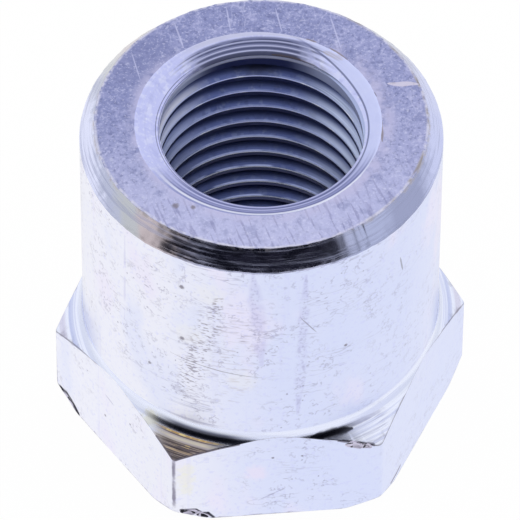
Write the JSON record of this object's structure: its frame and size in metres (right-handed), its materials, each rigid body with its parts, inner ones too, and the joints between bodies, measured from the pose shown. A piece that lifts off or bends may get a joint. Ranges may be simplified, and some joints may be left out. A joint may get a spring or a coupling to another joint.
{
  "type": "flywheel nut",
  "caption": "Hexagon nut with a long round collar, chamfered at its end, and a fine threaded through bore, for clamping a flywheel onto a crankshaft.",
  "frame": {"origin": "centre of the hexagon's base, on the thread's axis", "axes": "+Z along the thread's axis from the hexagon to the collar's end; two of the flats face +Y and -Y"},
  "size_m": [0.0184, 0.016, 0.0173],
  "materials": {
    "zinc_plated_steel": "bright blue-white zinc plating on turned steel, scratched and a little stained"
  },
  "bodies": {
    "root": {"flywheel_nut": "zinc_plated_steel"}
  },
  "joints": []
}
